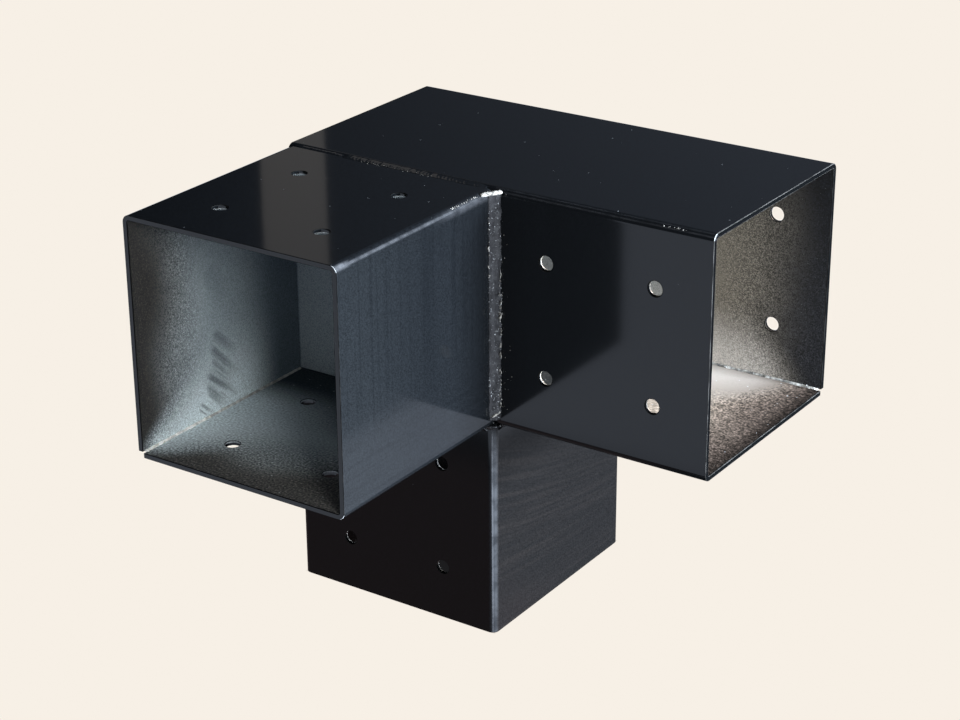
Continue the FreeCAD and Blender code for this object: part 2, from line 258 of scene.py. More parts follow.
def use_group(group, place, inputs):
    """Lay a shader group at some coordinates, fill its other inputs and give its outputs."""
    return node(place.tree, "ShaderNodeGroup", {"Vector": place, **inputs}, node_tree=group)


def new_material(name):
    """An empty node material. Gives it with its shader and its Object coordinates."""
    material = bpy.data.materials.new(name)
    material.use_nodes = True
    tree = material.node_tree
    return material, tree.nodes["Principled BSDF"], node(tree, "ShaderNodeTexCoord")["Object"]


SHADER, SHAPE = "ShaderNodeTree", "GeometryNodeTree"
FLOAT, VECTOR, COLOUR = "NodeSocketFloat", "NodeSocketVector", "NodeSocketColor"
INTEGER, MATERIAL, GEOMETRY = "NodeSocketInt", "NodeSocketMaterial", "NodeSocketGeometry"
print("helpers for groups and materials are ready")

# %% [markdown]
# ## Floor and light
# The part stands on a pale table. Gloss black shows hardly anything but what it mirrors, so the floor is
# the most important light: the upright walls mirror the table, and the tops mirror the dark room behind.
# A lit table could be done with many lamps, but a floor that glows is even and has no edge. The part
# would shade the table close by, and its walls mirror that shade, so a painted shade dims the glow
# there. For the camera alone the table stays clean but for a painted shade inside the post's mouth: the
# Light Path node tells camera rays from mirrored ones.

# %% A box with soft sides
def make_box_group():
    """1 inside a box, falling to 0 at its sides. Floor, paint and mist all ask where a point lies."""
    inputs = {VECTOR: "Vector, Centre, Half", FLOAT: "Soft"}
    tree, given, result = new_group("soft_box", SHADER, inputs, {FLOAT: "Mask"})
    away = vector_calc("ABSOLUTE", given["Vector"] - given["Centre"])
    x, y, z = xyz(given["Half"] - away)
    room_left = calc("MINIMUM", calc("MINIMUM", x, y), z)
    fill(result["Mask"], ramp(room_left, 0.0, given["Soft"]))
    return tree


box_group = make_box_group()

# %% Floor
BLACK = (0.0, 0.0, 0.0)
CREAM = (0.930, 0.870, 0.791)
TABLE_GLOW = (0.74, 0.80, 0.93)
TABLE_SHADE = (0.045, 0.050, 0.060)
POST_SHADE = (0.150, 0.115, 0.120)
# Painted shade on the floor inside the post's mouth.
SHADE_UNDER_POST = (0.012, 0.012, 0.013)
FLOOR_HALF = 40.0
FAR_SIDE = {"Centre": (0.200 + FLOOR_HALF, FLOOR_HALF, 0), "Half": (FLOOR_HALF, FLOOR_HALF, 1)}
# Each shade on the table: how deep it is, and the box that it fills, in metres.
SHADES = [
    (1.0, {"Centre": (-0.070, -0.110, 0), "Half": (0.160, 0.108, 1), "Soft": 0.015}),
    (1.0, {"Centre": (0.040, 0.050, 0), "Half": (0.122, 0.180, 1), "Soft": 0.020}),
    (0.3, {"Centre": (0.180, 0.080, 0), "Half": (0.100, 0.200, 1), "Soft": 0.020}),
    (1.0, {**FAR_SIDE, "Soft": 0.012}),
]
NEAR_POST = {"Centre": (-0.050, -0.095, 0), "Half": (0.140, 0.110, 1), "Soft": 0.050}

floor_mesh = bpy.data.meshes.new("floor")
floor_corners = [(-1, -1), (1, -1), (1, 1), (-1, 1)]
floor_mesh.from_pydata([(x * FLOOR_HALF, y * FLOOR_HALF, 0.0) for x, y in floor_corners], [], [(0, 1, 2, 3)])
floor = add_object("floor", floor_mesh)


def make_floor_finish():
    """Mirrored rays see a glowing table with the part's shade painted on. Camera rays see it clean,
    but for painted shade inside the post's mouth.
    """
    material, shader, place = new_material("pale_floor")
    shade = 0.0
    for depth, box in SHADES:
        shade = calc("MAXIMUM", shade, use_group(box_group, place, box)["Mask"] * depth)
    near_post = use_group(box_group, place, NEAR_POST)["Mask"]
    mirrored = mix(shade, TABLE_GLOW, mix(near_post, TABLE_SHADE, POST_SHADE))
    half = (post_high.x - post_low.x) / 2
    under = use_group(box_group, place, {"Half": (half, half, 1), "Soft": 2 * MM})["Mask"]
    camera_ray = node(place.tree, "ShaderNodeLightPath")["Is Camera Ray"]
    fill_all(shader, {
        "Emission Color": mix(camera_ray, mirrored, mix(under, CREAM, SHADE_UNDER_POST)),
        "Emission Strength": 1.0,
        "Base Color": BLACK,
        "Specular IOR Level": 0.0,
    })
    return material


floor_mesh.materials.append(make_floor_finish())
print("floor of", 2 * FLOOR_HALF, "m with", len(SHADES), "shades")

# %% Room
ROOM_DARK = (0.010, 0.012, 0.015)
ROOM_LIGHT = (0.105, 0.120, 0.150)
ROOM_TURN = (-0.68, -0.42)

room = bpy.data.worlds.new("room")
room.use_nodes = True
view_x, _, _ = xyz(node(room.node_tree, "ShaderNodeTexCoord")["Generated"])
room_colour = mix(ramp(view_x, *ROOM_TURN, smooth=False), ROOM_DARK, ROOM_LIGHT)
looking = node(room.node_tree, "ShaderNodeLightPath")["Is Camera Ray"]
fill(room.node_tree.nodes["Background"].inputs["Color"], mix(looking, room_colour, CREAM))
bpy.context.scene.world = room
print("room is darkest to the left")


# %% Lamps
def softbox(name, faced, azimuth, elevation, distance, width, height, radiance, colour, mirrored):
    """A rectangle of light that faces a point. Azimuth 0 is the front and 90 the right."""
    a, e = math.radians(azimuth), math.radians(elevation)
    away = Vector((math.sin(a) * math.cos(e), -math.cos(a) * math.cos(e), math.sin(e)))
    light = bpy.data.lights.new(name, "AREA")
    light.shape = "RECTANGLE"
    light.size = width
    light.size_y = height
    light.color = colour
    light.energy = radiance * math.pi * width * height
    lamp = add_object(name, light)
    lamp.location = faced + away * distance
    lamp.rotation_euler = away.to_track_quat("Z", "Y").to_euler()
    lamp.visible_camera = False
    lamp.visible_glossy = mirrored
    return lamp


COOL, NEUTRAL, WARM = (0.74, 0.86, 1.0), (0.92, 0.98, 1.0), (1.0, 0.92, 0.84)
# Each lamp: the point it faces, its azimuth and elevation in degrees, its distance, width and height in
# metres, its radiance and colour, and whether the gloss mirrors it.
lamps = [
    softbox("right_window", AIM_POINT, 97, 7.5, 1.6, 0.5, 0.5, 620.0, COOL, False),
    softbox("corner_window", AIM_POINT, 57, 23, 1.8, 0.6, 0.7, 20.0, NEUTRAL, False),
    softbox("camera_window", AIM_POINT, 30, 26, 1.5, 0.4, 0.4, 4.0, NEUTRAL, True),
    softbox("back_card", LENS_PLACE, 219, 17, 6.8, 0.195, 3.6, 0.20, WARM, True),
]
print("lamps:", ", ".join(lamp.name for lamp in lamps))

# %% [markdown]
# ## Shared effects
# Several finishes share the same small effects, so each effect is a group that is built once: grains of
# dust that settled on the gloss, the orange peel of sprayed paint, the space inside a socket, the mist of
# paint that drifted in there, and the lines along the folds, partly wear and partly painted highlight.
# The groups only put out masks, heights, distances and colours. The shader itself stays in each material.

# %% Dust specks
def make_dust_group():
    """Rare round grains: a cell pattern, cut off close to each cell's middle, in one cell of a few."""
    inputs = {VECTOR: "Vector", FLOAT: "Spacing, Grain, Share"}
    tree, given, result = new_group("dust_specks", SHADER, inputs, {FLOAT: "Mask"})
    cells = node(tree, "ShaderNodeTexVoronoi", {"Vector": given["Vector"], "Scale": 1.0 / given["Spacing"]})
    luck = node(tree, "ShaderNodeSeparateColor", {"Color": cells["Color"]})
    grain = cells["Distance"] < given["Grain"] * (luck["Green"] + 0.3)
    fill(result["Mask"], grain * (luck["Red"] < given["Share"]))
    return tree


dust_group = make_dust_group()

# %% Orange peel
DIMPLES_A_METRE, WAVES_A_METRE = 600.0, 22.0


def make_peel_group():
    """Height of sprayed paint: fine soft dimples over the slow wave of folded sheet, in metres."""
    inputs = {VECTOR: "Vector", FLOAT: "Dimple, Wave"}
    tree, given, result = new_group("orange_peel", SHADER, inputs, {FLOAT: "Height"})
    dimple = noise(given["Vector"], DIMPLES_A_METRE, 1.0) * given["Dimple"]
    wave = noise(given["Vector"], WAVES_A_METRE, 0.0) * given["Wave"]
    fill(result["Height"], dimple + wave)
    return tree


peel_group = make_peel_group()

# %% The space inside a socket
SHEET = 2.0 * MM
WALL_MIDDLE = SHEET / 2
HALF_INSIDE = (post_high.x - post_low.x) / 2 - WALL_MIDDLE
BEAM_MIDDLE, SIDE_MIDDLE, POST_MIDDLE = (
    (low + high) / 2 for low, high in ((beam_low, beam_high), (side_low, side_high), (post_low, post_high))
)
RIM = 0.2 * MM


def stretch(near_end, far_end):
    """Middle and half length of the space between two places on one axis."""
    return (near_end + far_end) / 2, abs(far_end - near_end) / 2


BEAM_X, BEAM_HALF = stretch(beam_high.x - RIM, beam_low.x + WALL_MIDDLE)
SIDE_Y, SIDE_HALF = stretch(side_low.y + RIM, side_high.y + WALL_MIDDLE)
POST_Z, POST_HALF = stretch(post_low.z + RIM, post_high.z + WALL_MIDDLE)
print("space inside the beam socket in mm:", round(2 * BEAM_HALF / MM, 1))

# %% Colours inside a socket
# Each place has three colours: bare steel, thin brown mist and thick black mist.
DRIFT_BROWN, DRIFT_BLACK = (0.098, 0.078, 0.060), (0.023, 0.020, 0.017)
POST_COLOURS = ((0.40, 0.41, 0.42), DRIFT_BROWN, DRIFT_BLACK)
SOCKET_SPACES = {
    "beam": {
        "centre": (BEAM_X, BEAM_MIDDLE.y, BEAM_MIDDLE.z),
        "half": (BEAM_HALF, HALF_INSIDE, HALF_INSIDE),
        "mouth": (beam_high.x, 0, 0),
        "inwards": (-1, 0, 0),
        "reach": 78 * MM,
        "walls": ((0.230, 0.198, 0.155), (0.042, 0.036, 0.031), (0.0095, 0.0095, 0.0105)),
        "floor": ((0.325, 0.256, 0.197), (0.165, 0.122, 0.094), (0.048, 0.035, 0.028)),
    },
    "side": {
        "centre": (SIDE_MIDDLE.x, SIDE_Y, SIDE_MIDDLE.z),
        "half": (HALF_INSIDE, SIDE_HALF, HALF_INSIDE),
        "mouth": (0, side_low.y, 0),
        "inwards": (0, 1, 0),
        "reach": 55 * MM,
        "walls": ((0.298, 0.336, 0.354), DRIFT_BROWN, DRIFT_BLACK),
        "floor": ((0.34, 0.380, 0.39), (0.150, 0.135, 0.115), (0.066, 0.060, 0.054)),
    },
    "post": {
        "centre": (POST_MIDDLE.x, POST_MIDDLE.y, POST_Z),
        "half": (HALF_INSIDE, HALF_INSIDE, POST_HALF),
        "mouth": (0, 0, post_low.z),
        "inwards": (0, 0, 1),
        "reach": 55 * MM,
        "walls": POST_COLOURS,
        "floor": POST_COLOURS,
    },
}
print("sockets with an inside:", ", ".join(SOCKET_SPACES))

# %% Depth and colours at a point
LIES_FLAT = (0.3, 0.7)
SOFT_SIDE = 0.5 * MM


def make_inside_group():
    """Whether a point lies inside a socket, how deep behind its mouth, and the colours found there."""
    outputs = {FLOAT: "Inside, Depth, Reach", COLOUR: "Steel, Brown, Black"}
    tree, given, result = new_group("socket_inside", SHADER, {VECTOR: "Vector", FLOAT: "Upwards"}, outputs)
    place = given["Vector"]
    lies_flat = ramp(given["Upwards"], *LIES_FLAT)
    inside, depth, reach, colours = 0.0, 0.0, 0.0, POST_COLOURS
    for space in SOCKET_SPACES.values():
        box = {"Centre": space["centre"], "Half": space["half"], "Soft": SOFT_SIDE}
        mask = use_group(box_group, place, box)["Mask"]
        inside = calc("MAXIMUM", inside, mask)
        depth = mix(mask, depth, vector_calc("DOT_PRODUCT", place - space["mouth"], space["inwards"]))
        reach = mix(mask, reach, space["reach"])
        colours = [
            mix(mask, before, mix(lies_flat, wall, flat))
            for before, wall, flat in zip(colours, space["walls"], space["floor"])
        ]
    for socket, value in zip(result, (inside, depth, reach, *colours)):
        fill(socket, value)
    return tree


inside_group = make_inside_group()

# %% Mist of paint
WALL_GRAIN, FLOOR_GRAIN = 0.42 * MM, 0.85 * MM
CLOUDS_A_METRE, CLOUD_SHIFT = 26.0, 22 * MM


def make_mist_group():
    """Share of the steel that drifted paint covers: whole at the mouth, thinning inwards, and grainy."""
    inputs = {VECTOR: "Vector", FLOAT: "Depth, Reach, Grain"}
    tree, given, result = new_group("paint_mist", SHADER, inputs, {FLOAT: "Density, Cover, Luck"})
    drift = given["Depth"] + (noise(given["Vector"], CLOUDS_A_METRE) - 0.5) * CLOUD_SHIFT
    bare = ramp(drift, 3 * MM, given["Reach"])
    density = calc("POWER", 1.0 - bare, 1.4)
    luck = noise(given["Vector"], 1.0 / given["Grain"], 1.0)
    fill(result["Density"], density)
    fill(result["Luck"], luck)
    fill(result["Cover"], ramp((luck - 0.5) * 0.5 + density, 0.0, 1.0, smooth=False))
    return tree


mist_group = make_mist_group()


# %% Folds with wear and painted highlight
def make_fold_group():
    """A line along a fold. It is found by its distance across the fold from the line's own place."""
    inputs = {
        VECTOR: "Vector, Point, Out, Across, Along",
        FLOAT: "Reach, Offset, Half Width, Length, Fade, Strength",
    }
    tree, given, result = new_group("fold_line", SHADER, inputs, {FLOAT: "Mask"})
    away = given["Vector"] - given["Point"]
    out, across, along = (
        vector_calc("DOT_PRODUCT", away, given[name]) for name in ("Out", "Across", "Along")
    )
    offset = calc("ABSOLUTE", across - given["Offset"])
    line = ramp(offset, given["Half Width"] * 0.15, given["Half Width"], 1.0, 0.0)
    begun = ramp(along, 0.0, 0.5 * MM)
    kept = ramp(along, given["Length"] - given["Fade"], given["Length"], 1.0, 0.0)
    fill(result["Mask"], line * (out > given["Reach"]) * begun * kept * given["Strength"])
    return tree


fold_group = make_fold_group()

# %% [markdown]
# ## Paint
# The outside is gloss black with a blue cast. Its tops and the end faces of its mouths are painted darker
# as shade, and the side socket's right wall is painted lighter towards its mouth as painted light. Inside,
# the paint only drifted in from the mouth: black at the edge, then a brown speckled mist, then nearly bare
# grey steel. One paint with a mask for each socket's inside follows the real thing better than two paints
# with a hard border. Thin grey lines along the folds are partly burnish, where the part was slid about,
# and partly painted highlight, and a hand wiped through the mist on the left wall before it dried.

# %% Places of wear and painted highlight
BEND = 3.0 * MM
DIAGONAL = math.sqrt(0.5)
POST_FOLD = {
    "Point": (post_high.x - BEND, post_low.y + BEND, 0.0),
    "Out": (DIAGONAL, -DIAGONAL, 0),
    "Across": (DIAGONAL, DIAGONAL, 0),
    "Along": (0, 0, 1),
    "Length": post_high.z - 2 * MM,
    "Fade": 6 * MM,
    "Reach": BEND / 2,
}
SIDE_FOLD = {
    "Point": (side_high.x - BEND, beam_low.y, side_high.z - BEND),
    "Out": (DIAGONAL, 0, DIAGONAL),
    "Across": (DIAGONAL, 0, -DIAGONAL),
    "Along": (0, -1, 0),
    "Length": side_high.y - side_low.y,
    "Fade": 1 * MM,
    "Reach": BEND / 2,
}
SIDE_MOUTH = {
    **SIDE_FOLD, "Point": (side_high.x - BEND, side_low.y, side_high.z - BEND), "Along": (0, 1, 0),
    "Length": 10 * MM, "Fade": 8 * MM,
}
SIDE_WELDED = {**SIDE_FOLD, "Length": 42 * MM, "Fade": 26 * MM}
BEAM_FOLD = {
    "Point": (side_high.x, beam_low.y + BEND, beam_high.z - BEND),
    "Out": (0, -DIAGONAL, DIAGONAL),
    "Across": (0, -DIAGONAL, -DIAGONAL),
    "Along": (1, 0, 0),
    "Length": beam_high.x,
    "Fade": 2 * MM,
    "Reach": BEND / 2,
}
# Each line along a fold, partly wear and partly painted highlight: its fold, its offset and half its
# width in millimetres, and how strongly it shows.
RUBBED_AND_LIT_LINES = [
    (POST_FOLD, -0.45, 0.50, 1.0),
    (POST_FOLD, 0.45, 1.85, 0.40),
    (SIDE_FOLD, 0.5, 0.9, 0.44),
    (SIDE_MOUTH, 0.3, 1.6, 1.2),
    (SIDE_WELDED, 0.6, 2.4, 0.32),
    (BEAM_FOLD, -0.93, 0.45, 0.30),
    (BEAM_FOLD, 0.42, 0.50, 0.40),
]
print("rubbed lines:", len(RUBBED_AND_LIT_LINES))

# %% Wiped streaks
# Each streak on the side socket's left wall: depth and height of both ends and half its width in
# millimetres, and how strongly it shows. Below zero it is light.
SMEARS = [
    (43.0, 36.0, 58.0, 21.6, 2.8, 0.50), (41.5, 29.5, 57.5, 12.8, 2.6, 0.78),
    (41.6, 24.8, 54.0, 12.0, 1.8, 0.58), (43.0, 20.1, 54.0, 10.0, 0.6, 0.52),
    (39.0, 19.2, 56.0, 5.6, 2.0, 0.84), (37.8, 15.4, 50.0, 2.2, 2.1, 0.66),
    (38.0, 12.4, 47.6, 2.2, 1.7, 0.55), (33.8, 9.2, 41.6, 2.0, 1.1, 0.70),
    (32.6, 7.5, 38.7, 1.6, 0.6, 0.60), (45.0, 10.2, 54.0, 2.0, 0.7, 0.30),
    (47.0, 13.2, 58.0, 2.6, 0.6, 0.25), (43.0, 34.0, 53.0, 20.0, 6.0, 0.30),
    (39.5, 22.0, 51.0, 6.0, 6.5, 0.34), (41.0, 62.0, 54.0, 42.0, 7.0, 0.30),
    (37.0, 11.2, 46.8, 2.0, 0.9, -0.70), (42.5, 31.6, 55.0, 19.0, 0.9, -0.22),
    (36.2, 9.0, 42.8, 2.0, 0.35, -0.55),
]
SMEAR_DARK = (0.10, 0.115, 0.125)
SMEAR_LIGHT = (0.70, 0.76, 0.76)
ACROSS_RAG = (0, 0.68, 0.73)
THREADS_A_METRE = 900.0


def make_stroke_group():
    """A wiped streak from a start to an end: sharp where the hand set on, fading where it lifted."""
    inputs = {VECTOR: "Vector, Start, End", FLOAT: "Half Width, Strength"}
    tree, given, result = new_group("wiped_stroke", SHADER, inputs, {FLOAT: "Mask"})
    run = given["End"] - given["Start"]
    away = given["Vector"] - given["Start"]
    travelled = vector_calc("DOT_PRODUCT", away, vector_calc("NORMALIZE", run))
    share = travelled / vector_calc("LENGTH", run)
    aside = vector_calc("DISTANCE", away, run * share)
    line = ramp(aside / given["Half Width"], 0.2, 1.0, 1.0, 0.0)
    lasting = ramp(share, -0.06, 0.12) * ramp(share, 0.35, 1.05, 1.0, 0.0)
    fill(result["Mask"], line * lasting * given["Strength"])
    return tree


stroke_group = make_stroke_group()


def add_smears(place, steel):
    """The wiped streaks laid over the steel, each with the fine lines of the rag."""
    turned = vector_calc("DOT_PRODUCT", place, ACROSS_RAG)
    threads = ramp(noise(from_xyz(X=turned), THREADS_A_METRE), 0.3, 0.7, 0.6, 1.0)
    for depth_a, height_a, depth_b, height_b, width, strength in SMEARS:
        start, end = (
            (side_low.x + SHEET, side_low.y + depth * MM, side_low.z + height * MM)
            for depth, height in ((depth_a, height_a), (depth_b, height_b))
        )
        sizes = {"Start": start, "End": end, "Half Width": width * MM, "Strength": abs(strength)}
        mask = use_group(stroke_group, place, sizes)["Mask"] * threads
        steel = mix(mask, steel, SMEAR_DARK if strength > 0 else SMEAR_LIGHT)
    return steel


print("wiped streaks:", len(SMEARS))

# %% [markdown]
# ## Steel inside the sockets
# Bare steel is not one grey, and light is painted on it here as well: deep inside it is painted darker as
# shade, and beside the inner seams brighter as glare, where the mist is cleared too. A painted image could
# show this, but the sheets would have to be unwrapped first. Distances from known corners and lines do the
# same on Object coordinates, and they follow the sizes of the solids.

# %% Painted shade deep inside
SKIN = SHEET + 0.5 * MM
# Painted shade deep inside, and a lighter far wall in the beam, partly clean steel and partly painted light.
DEEP_WALL_SHADE = (0.15, 0.185, 0.21)
DEEP_FLOOR_SHADE = (0.028, 0.043, 0.054)
ROOT_WALL_STEEL_AND_LIGHT = (0.37, 0.365, 0.35)
ROOT_FLOOR_SHADE = (0.030, 0.029, 0.027)
ROOT_END_SHADE = (0.0045, 0.0048, 0.0050)


def add_layers(colour, layers):
    """Colours laid over each other, each where its mask is 1."""
    for mask, layer in layers:
        colour = mix(mask, colour, layer)
    return colour


def add_deep_shade(place, steel):
    """Painted shade deep inside the side socket, on its left wall and floor, and deep in the beam, on its
    floor and on the inside of its end. The beam's far wall near the root is lighter: partly clean steel,
    partly painted light.
    """
    x, y, z = xyz(place)
    in_side = y < side_high.y + WALL_MIDDLE
    in_beam = z > beam_low.z + WALL_MIDDLE
    inner = y > beam_low.y + WALL_MIDDLE
    deep_wall = ramp(y, side_high.y - 38 * MM, side_high.y - 10 * MM)
    deep_floor = ramp(y, side_high.y - 52 * MM, side_high.y - 27 * MM)
    root = ramp(x, beam_high.x - 85 * MM, beam_high.x - 50 * MM, 1.0, 0.0)
    return add_layers(steel, [
        (deep_wall * (x < side_low.x + SKIN), DEEP_WALL_SHADE),
        (deep_floor * in_side * (z < side_low.z + SKIN), DEEP_FLOOR_SHADE),
        (root * in_beam * (y > beam_high.y - SKIN), ROOT_WALL_STEEL_AND_LIGHT),
        (root * in_beam * inner * (z < beam_low.z + SKIN), ROOT_FLOOR_SHADE),
        (in_beam * inner * (x < beam_low.x + SKIN), ROOT_END_SHADE),
    ])


print("a wall's inner face lies within", round(SKIN / MM, 1), "mm of its outer face")

# %% Painted glare beside the seams
GLARE_WHITE = (0.69, 0.75, 0.76)
GLARE_YELLOW = (0.63, 0.575, 0.52)
# Each seam: a point on it and its direction, where its painted glare begins, is full and ends and how
# far it reaches in millimetres, its colour, the share of mist it clears and its strength on the floor.
SEAM_LINES = [
    (tuple(side_low), (0, 1, 0), (-4, 10, 84, 42), GLARE_WHITE, 0.85, 1.0),
    ((beam_high.x, beam_high.y, beam_low.z), (-1, 0, 0), (4, 30, 130, 32), GLARE_YELLOW, 0.6, 0.56),
]
GLOW_FADE = 26 * MM


def add_seam_glow(place, upwards, steel):
    """Painted glare of light on both sides of the inner seams, where the mist is cleared as well."""
    glared = 0.0
    spread = ramp(upwards, *LIES_FLAT, 1.0, 1.5)
    for point, along, lengths, colour, depth, on_floor in SEAM_LINES:
        begin, full, end, reach = (length * MM for length in lengths)
        away = place - point
        run = vector_calc("DOT_PRODUCT", away, along)
        across = away - vector_calc("SCALE", along, scale=run)
        width = ramp(run, 0.0, reach, reach * 0.2, reach, smooth=False) * spread
        close_by = ramp(vector_calc("LENGTH", across), 2 * MM, width, 1.0, 0.0)
        kept = ramp(run, end - GLOW_FADE, end, 1.0, 0.0) * ramp(upwards, *LIES_FLAT, 1.0, on_floor)
        mask = close_by * ramp(run, begin, full) * kept
        steel = mix(mask, steel, colour)
        glared = calc("MAXIMUM", glared, mask * depth)
    return steel, glared


print("burnt seams:", len(SEAM_LINES))

# %% The inside of the sockets
# White specks inside: partly dust, partly painted sparkle of the steel.
SPARKLE_AND_DUST_WHITE = (0.50, 0.51, 0.52)
BEAM_BEGINS = (side_high.x - 3 * MM, side_high.x + 3 * MM)
SPARKLE = {"Spacing": 1.9 * MM, "Grain": 0.15, "Share": 0.22}
MIRROR_DIM = 0.85


def colour_inside(place, upwards, space):
    """Steel under a mist of paint, with painted shade and painted glare. Gives the colour, the share that
    is covered and the grain's luck.
    """
    x, _, z = xyz(place)
    on_floor = ramp(upwards, *LIES_FLAT)
    in_beam = ramp(x, *BEAM_BEGINS)
    on_side_floor = calc("SUBTRACT", on_floor, in_beam, clamp=True)
    # Painted shade of the side socket's right wall on its floor: the mist is made thicker there.
    right_wall_shade = ramp(x, side_high.x - 50 * MM, side_high.x, 0.0, 22 * MM) * on_side_floor
    mist = use_group(mist_group, place, {
        "Depth": space["Depth"] - right_wall_shade, "Reach": space["Reach"],
        "Grain": mix(on_floor, WALL_GRAIN, FLOOR_GRAIN),
    })
    steel, glared = add_seam_glow(place, upwards, add_deep_shade(place, space["Steel"]))
    steel = add_smears(place, steel)
    cover = mist["Cover"] * (1.0 - glared)
    # Painted light on the beam's walls: the mist there is lighter low down and darker near the top.
    lit_low_on_wall = ramp(z, beam_low.z + 8 * MM, beam_high.z, 1.75, 0.70)
    drifted = mix(mist["Density"], space["Brown"], space["Black"])
    drifted = drifted * mix(in_beam * (1.0 - on_floor), 1.0, lit_low_on_wall)

    calm = mix(in_beam, 1.0, mix(on_floor, 0.8, 0.05))
    coarse = mix(in_beam, 0.95, 1.05) * ramp(cover, 0.0, 0.8, 0.8, 3.0) * ramp(glared, 0.0, 0.25, 1.0, calm)
    speckle = calc("POWER", mist["Luck"] * 2.0, coarse)
    on_lip = mix(in_beam * on_floor, 1.0, ramp(space["Depth"], 1 * MM, 9 * MM, 0.30, 1.0))
    within = mix(cover, steel, drifted) * (speckle * on_lip)
    shine = mix(on_floor, ramp(cover, 0.3, 0.9, 0.18, 0.30), 0.65)
    within = mix(use_group(dust_group, place, SPARKLE)["Mask"] * shine, within, SPARKLE_AND_DUST_WHITE)
    glossy_ray = node(place.tree, "ShaderNodeLightPath")["Is Glossy Ray"]
    return mix(glossy_ray * MIRROR_DIM, within, DRIFT_BLACK), cover, mist["Luck"]


print("mist reaches in mm:", {name: round(space["reach"] / MM) for name, space in SOCKET_SPACES.items()})

# %% Brush marks and painted light
POST_GREY = (0.0029, 0.0027, 0.0027)
MOUTH_LIGHT_GREY = (0.0034, 0.0038, 0.0042)
STREAK_GREY = (0.0045, 0.0039, 0.0037)
STREAK_DARK = (0.0012, 0.0014, 0.0017)
SWEEP_BOW = 5.5


def add_brush_marks(place, paint):
    """Marks of the wiping rag on the right walls: swept across the post, upright near the side's top.
    Under them the post's right wall is a warmer grey, and the side's right wall is painted lighter
    towards its mouth as painted light.
    """
    x, y, z = xyz(place)
    on_right = x > post_high.x - 0.3 * MM
    on_post = on_right * (z < post_high.z)
    on_side = on_right * (y < beam_low.y)
    # Painted light: the side's right wall is lighter near its mouth and darker towards the beam.
    lit_to_mouth = ramp(y, side_low.y + 4 * MM, side_low.y + 60 * MM, 1.0, 0.0)

    swing = z * (y - post_low.y) * SWEEP_BOW
    sweep = from_xyz(Y=y, Z=z + calc("MAXIMUM", swing, 0.0))
    fine = ramp(streaks(sweep, (1, 16, 520), 3.0), 0.36, 0.68)
    broad = ramp(streaks(sweep, (1, 9, 75), 1.0), 0.30, 0.70)

    combed = ramp(streaks(place, (1, 520, 9)), 0.42, 0.70)
    combed = combed * ramp(z, side_low.z + 14 * MM, side_low.z + 50 * MM, 0.0, 0.34)
    low_down = ramp(z, side_low.z + 14 * MM, side_low.z + 42 * MM, 0.4, 0.0)
    upright = ramp(streaks(place, (1, 640, 26)), 0.52, 0.70)
    high_up = ramp(z, side_high.z - 34 * MM, side_high.z - 8 * MM)
    off_patch = calc("ABSOLUTE", y - (beam_low.y - 30 * MM))
    patch = ramp(off_patch, 8 * MM, 24 * MM, 0.75, 0.0)
    return add_layers(paint, [
        (on_post, POST_GREY),
        (on_side * lit_to_mouth, MOUTH_LIGHT_GREY),
        (on_post * fine * (broad * 0.75 + 0.15), STREAK_GREY),
        (on_side * combed, STREAK_DARK),
        (on_side * low_down * fine, STREAK_DARK),
        (on_side * upright * high_up * patch, STREAK_DARK),
    ])


print("brush marks lie on the post's and the side socket's right walls")

# %% The outside of the sockets
GLOSS_BLACK = (0.0023, 0.0026, 0.0030)
TOP_SHADE_BLACK = (0.0013, 0.0016, 0.0020)
RIM_SHADE_BLACK = (0.0007, 0.0008, 0.0009)
RUBBED_AND_LIT_GREY = (0.034, 0.034, 0.036)
DUST_GREY = (0.085, 0.088, 0.092)


def colour_outside(place, upwards, luck):
    """Black paint with brush marks, dust, and grey lines along the folds that are partly wear and partly
    painted highlight. Tops and rims are painted darker as shade. Gives its colour and where it is dull.
    """
    x, y, _ = xyz(place)
    share = ramp(upwards, 0.1, 0.9, 0.08, 0.5)
    dust = use_group(dust_group, place, {"Spacing": 4.5 * MM, "Grain": 0.06, "Share": share})["Mask"]
    rubbed_and_lit = 0.0
    # Grey lines along the folds: partly wear, partly painted highlight.
    for fold, offset, half_width, strength in RUBBED_AND_LIT_LINES:
        line = {**fold, "Offset": offset * MM, "Half Width": half_width * MM, "Strength": strength}
        rubbed_and_lit = calc("MAXIMUM", rubbed_and_lit, use_group(fold_group, place, line)["Mask"])
    rubbed_and_lit = rubbed_and_lit * ramp(noise(place, 220.0, 3.0), 0.30, 0.70, 0.45, 1.25)
    # Tops are a darker black: painted shade.
    black = mix(ramp(upwards, 0.8, 0.98), GLOSS_BLACK, TOP_SHADE_BLACK)
    black = add_brush_marks(place, black) * ramp(luck, 0.3, 0.7, 0.55, 1.45, smooth=False)
    # The end faces of the mouths are darker still: painted shade.
    on_rim = calc("MAXIMUM", x > beam_high.x - RIM / 4, y < side_low.y + RIM / 4)
    painted = add_layers(black, [(on_rim, RIM_SHADE_BLACK), (rubbed_and_lit, RUBBED_AND_LIT_GREY), (dust, DUST_GREY)])
    return painted, calc("MAXIMUM", dust, rubbed_and_lit)


print("black paint, darker on tops and rims")

# %% Paint for the sockets
STEEL_ROUGHNESS, DULL_ROUGHNESS = 0.85, 0.4
TOP_ROUGHNESS, WIPED_ROUGHNESS = 0.045, 0.105
STEEL_METALLIC = 0.25
PEEL = {"Dimple": 0.0005 * MM, "Wave": 0.0025 * MM}


